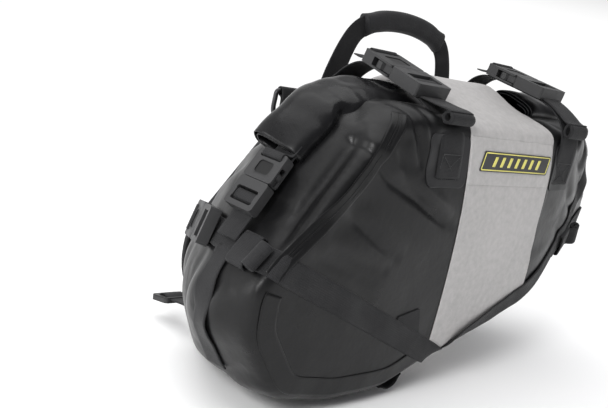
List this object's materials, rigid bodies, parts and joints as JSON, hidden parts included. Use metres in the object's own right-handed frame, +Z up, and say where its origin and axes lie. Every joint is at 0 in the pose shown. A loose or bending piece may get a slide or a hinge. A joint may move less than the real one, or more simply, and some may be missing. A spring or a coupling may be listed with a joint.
{
  "type": "motorcycle saddlebag",
  "caption": "Roll-top welded dry bag for the side of a motorcycle, with webbing straps, side-release buckles, a carry handle and a back panel.",
  "frame": {"origin": "middle of the heat panel on the back face, which lies against the motorcycle", "axes": "+Y out of the back face, +Z up, X along the bag with the deep end at -X"},
  "size_m": [0.6402, 0.2552, 0.3685],
  "materials": {
    "coated_fabric": "semi-gloss coated fabric with welded seams",
    "rolled_fabric": "semi-gloss coated fabric, rolled and creased",
    "band_fabric": "satin pale grey coated fabric",
    "patch_fabric": "semi-gloss welded patch",
    "heat_panel": "matte stiff panel with a fine grain",
    "piping": "matte thick binding",
    "webbing": "matte woven polyester webbing",
    "grip_wrap": "matte padded wrap",
    "hook_and_loop": "matte looped pile",
    "moulded_plastic": "fine-textured moulded acetal",
    "ring_metal": "black coated steel wire",
    "rivet_metal": "black coated cap",
    "badge_print": "glossy printed vinyl with a plain pattern"
  },
  "bodies": {
    "bag": {"left_end_shell": "coated_fabric", "right_end_shell": "coated_fabric", "centre_band_shell": "band_fabric", "left_roll_top": "rolled_fabric", "right_roll_top": "rolled_fabric", "left_cross_strap": "webbing", "left_cross_strap_anchor": "webbing", "left_top_buckle_female": "moulded_plastic", "right_cross_strap": "webbing", "right_cross_strap_anchor": "webbing", "right_top_buckle_female": "moulded_plastic", "left_compression_strap": "webbing", "left_compression_anchor": "webbing", "right_compression_strap": "webbing", "right_compression_anchor": "webbing", "left_side_buckle_female": "moulded_plastic", "right_side_buckle_female": "moulded_plastic", "left_tether_strap": "webbing", "left_end_buckle_female": "moulded_plastic", "right_tether_strap": "webbing", "right_end_buckle_female": "moulded_plastic", "left_end_strap": "webbing", "right_end_strap": "webbing", "strap_keepers": "webbing", "rolled_tails": "webbing", "outer_patches": "patch_fabric", "lower_patch": "webbing", "bottom_loops": "webbing", "back_panel": "heat_panel", "back_panel_piping": "piping", "handle_bases": "webbing", "hook_and_loop_panel": "hook_and_loop", "top_edge_strap": "webbing", "ring_tabs": "webbing", "rivets": "rivet_metal", "rack_strap": "webbing", "rack_strap_buckle": "moulded_plastic", "badge": "badge_print"},
    "left_top_buckle_male": {"left_top_buckle_male": "moulded_plastic"},
    "left_top_buckle_prong_a": {"left_top_buckle_prong_a": "moulded_plastic"},
    "left_top_buckle_prong_b": {"left_top_buckle_prong_b": "moulded_plastic"},
    "right_top_buckle_male": {"right_top_buckle_male": "moulded_plastic"},
    "right_top_buckle_prong_a": {"right_top_buckle_prong_a": "moulded_plastic"},
    "right_top_buckle_prong_b": {"right_top_buckle_prong_b": "moulded_plastic"},
    "left_side_buckle_male": {"left_side_buckle_male": "moulded_plastic"},
    "left_side_buckle_prong_a": {"left_side_buckle_prong_a": "moulded_plastic"},
    "left_side_buckle_prong_b": {"left_side_buckle_prong_b": "moulded_plastic"},
    "right_side_buckle_male": {"right_side_buckle_male": "moulded_plastic"},
    "right_side_buckle_prong_a": {"right_side_buckle_prong_a": "moulded_plastic"},
    "right_side_buckle_prong_b": {"right_side_buckle_prong_b": "moulded_plastic"},
    "left_end_buckle_male": {"left_end_buckle_male": "moulded_plastic"},
    "left_end_buckle_prong_a": {"left_end_buckle_prong_a": "moulded_plastic"},
    "left_end_buckle_prong_b": {"left_end_buckle_prong_b": "moulded_plastic"},
    "right_end_buckle_male": {"right_end_buckle_male": "moulded_plastic"},
    "right_end_buckle_prong_a": {"right_end_buckle_prong_a": "moulded_plastic"},
    "right_end_buckle_prong_b": {"right_end_buckle_prong_b": "moulded_plastic"},
    "handle": {"handle_webbing": "webbing", "handle_grip": "grip_wrap"},
    "left_d_ring": {"left_d_ring": "ring_metal"},
    "right_d_ring": {"right_d_ring": "ring_metal"}
  },
  "joints": [
    {"name": "handle_swing", "type": "hinge", "parent": "bag", "child": "handle", "pos_m": [0, -0.0031, 0.1402], "axis": [1, 0, 0], "range_deg": [-150, 40]},
    {"name": "right_d_ring_swing", "type": "hinge", "parent": "bag", "child": "right_d_ring", "pos_m": [0.147, 0.0029, 0.128], "axis": [1, 0, 0], "range_deg": [0, 150]},
    {"name": "left_d_ring_swing", "type": "hinge", "parent": "bag", "child": "left_d_ring", "pos_m": [-0.147, 0.0029, 0.128], "axis": [1, 0, 0], "range_deg": [0, 150]},
    {"name": "left_top_buckle_release", "type": "slide", "parent": "bag", "child": "left_top_buckle_male", "axis": [0, -0.9659, -0.2589], "range_m": [0, 0.018]},
    {"name": "left_top_buckle_prong_a_squeeze", "type": "hinge", "parent": "left_top_buckle_male", "child": "left_top_buckle_prong_a", "pos_m": [-0.0889, -0.10431, 0.16782], "axis": [0, -0.2589, 0.9659], "range_deg": [0, 8], "stiffness_Nm_per_rad": 0.05},
    {"name": "left_top_buckle_prong_b_squeeze", "type": "hinge", "parent": "left_top_buckle_male", "child": "left_top_buckle_prong_b", "pos_m": [-0.1311, -0.10431, 0.16782], "axis": [0, -0.2589, 0.9659], "range_deg": [-8, 0], "stiffness_Nm_per_rad": 0.05},
    {"name": "right_top_buckle_release", "type": "slide", "parent": "bag", "child": "right_top_buckle_male", "axis": [0, -0.9849, -0.1733], "range_m": [0, 0.018]},
    {"name": "right_top_buckle_prong_a_squeeze", "type": "hinge", "parent": "right_top_buckle_male", "child": "right_top_buckle_prong_a", "pos_m": [0.1311, -0.10416, 0.18328], "axis": [0, -0.1733, 0.9849], "range_deg": [0, 8], "stiffness_Nm_per_rad": 0.05},
    {"name": "right_top_buckle_prong_b_squeeze", "type": "hinge", "parent": "right_top_buckle_male", "child": "right_top_buckle_prong_b", "pos_m": [0.0889, -0.10416, 0.18328], "axis": [0, -0.1733, 0.9849], "range_deg": [-8, 0], "stiffness_Nm_per_rad": 0.05},
    {"name": "left_side_buckle_release", "type": "slide", "parent": "bag", "child": "left_side_buckle_male", "axis": [-0.479, -0.8657, 0.1452], "range_m": [0, 0.009]},
    {"name": "left_side_buckle_prong_a_squeeze", "type": "hinge", "parent": "left_side_buckle_male", "child": "left_side_buckle_prong_a", "pos_m": [-0.27952, -0.06427, 0.01844], "axis": [-0.8285, 0.5005, 0.2512], "range_deg": [0, 8], "stiffness_Nm_per_rad": 0.05},
    {"name": "left_side_buckle_prong_b_squeeze", "type": "hinge", "parent": "left_side_buckle_male", "child": "left_side_buckle_prong_b", "pos_m": [-0.28684, -0.06427, -0.00568], "axis": [-0.8285, 0.5005, 0.2512], "range_deg": [-8, 0], "stiffness_Nm_per_rad": 0.05},
    {"name": "right_side_buckle_release", "type": "slide", "parent": "bag", "child": "right_side_buckle_male", "axis": [0, -1, 0], "range_m": [0, 0.009]},
    {"name": "right_side_buckle_prong_a_squeeze", "type": "hinge", "parent": "right_side_buckle_male", "child": "right_side_buckle_prong_a", "pos_m": [0.29834, -0.0379, 0.02333], "axis": [0.9659, 0, -0.259], "range_deg": [0, 8], "stiffness_Nm_per_rad": 0.05},
    {"name": "right_side_buckle_prong_b_squeeze", "type": "hinge", "parent": "right_side_buckle_male", "child": "right_side_buckle_prong_b", "pos_m": [0.30487, -0.0379, 0.04767], "axis": [0.9659, 0, -0.259], "range_deg": [-8, 0], "stiffness_Nm_per_rad": 0.05},
    {"name": "left_end_buckle_release", "type": "slide", "parent": "bag", "child": "left_end_buckle_male", "axis": [-0.5437, 0, -0.8393], "range_m": [0, 0.009]},
    {"name": "left_end_buckle_prong_a_squeeze", "type": "hinge", "parent": "left_end_buckle_male", "child": "left_end_buckle_prong_a", "pos_m": [-0.27798, -0.1306, 0.06109], "axis": [-0.8393, 0, 0.5437], "range_deg": [0, 8], "stiffness_Nm_per_rad": 0.05},
    {"name": "left_end_buckle_prong_b_squeeze", "type": "hinge", "parent": "left_end_buckle_male", "child": "left_end_buckle_prong_b", "pos_m": [-0.27798, -0.1054, 0.06109], "axis": [-0.8393, 0, 0.5437], "range_deg": [-8, 0], "stiffness_Nm_per_rad": 0.05},
    {"name": "right_end_buckle_release", "type": "slide", "parent": "bag", "child": "right_end_buckle_male", "axis": [0.5601, 0, -0.8284], "range_m": [0, 0.009]},
    {"name": "right_end_buckle_prong_a_squeeze", "type": "hinge", "parent": "right_end_buckle_male", "child": "right_end_buckle_prong_a", "pos_m": [0.2815, -0.0874, 0.08747], "axis": [0.8284, 0, 0.5601], "range_deg": [0, 8], "stiffness_Nm_per_rad": 0.05},
    {"name": "right_end_buckle_prong_b_squeeze", "type": "hinge", "parent": "right_end_buckle_male", "child": "right_end_buckle_prong_b", "pos_m": [0.2815, -0.1126, 0.08747], "axis": [0.8284, 0, 0.5601], "range_deg": [-8, 0], "stiffness_Nm_per_rad": 0.05}
  ],
  "couplings": [
    {"joint": "left_top_buckle_prong_b_squeeze", "follows": "left_top_buckle_prong_a_squeeze", "ratio": -1},
    {"joint": "right_top_buckle_prong_b_squeeze", "follows": "right_top_buckle_prong_a_squeeze", "ratio": -1},
    {"joint": "left_side_buckle_prong_b_squeeze", "follows": "left_side_buckle_prong_a_squeeze", "ratio": -1},
    {"joint": "right_side_buckle_prong_b_squeeze", "follows": "right_side_buckle_prong_a_squeeze", "ratio": -1},
    {"joint": "left_end_buckle_prong_b_squeeze", "follows": "left_end_buckle_prong_a_squeeze", "ratio": -1},
    {"joint": "right_end_buckle_prong_b_squeeze", "follows": "right_end_buckle_prong_a_squeeze", "ratio": -1}
  ]
}
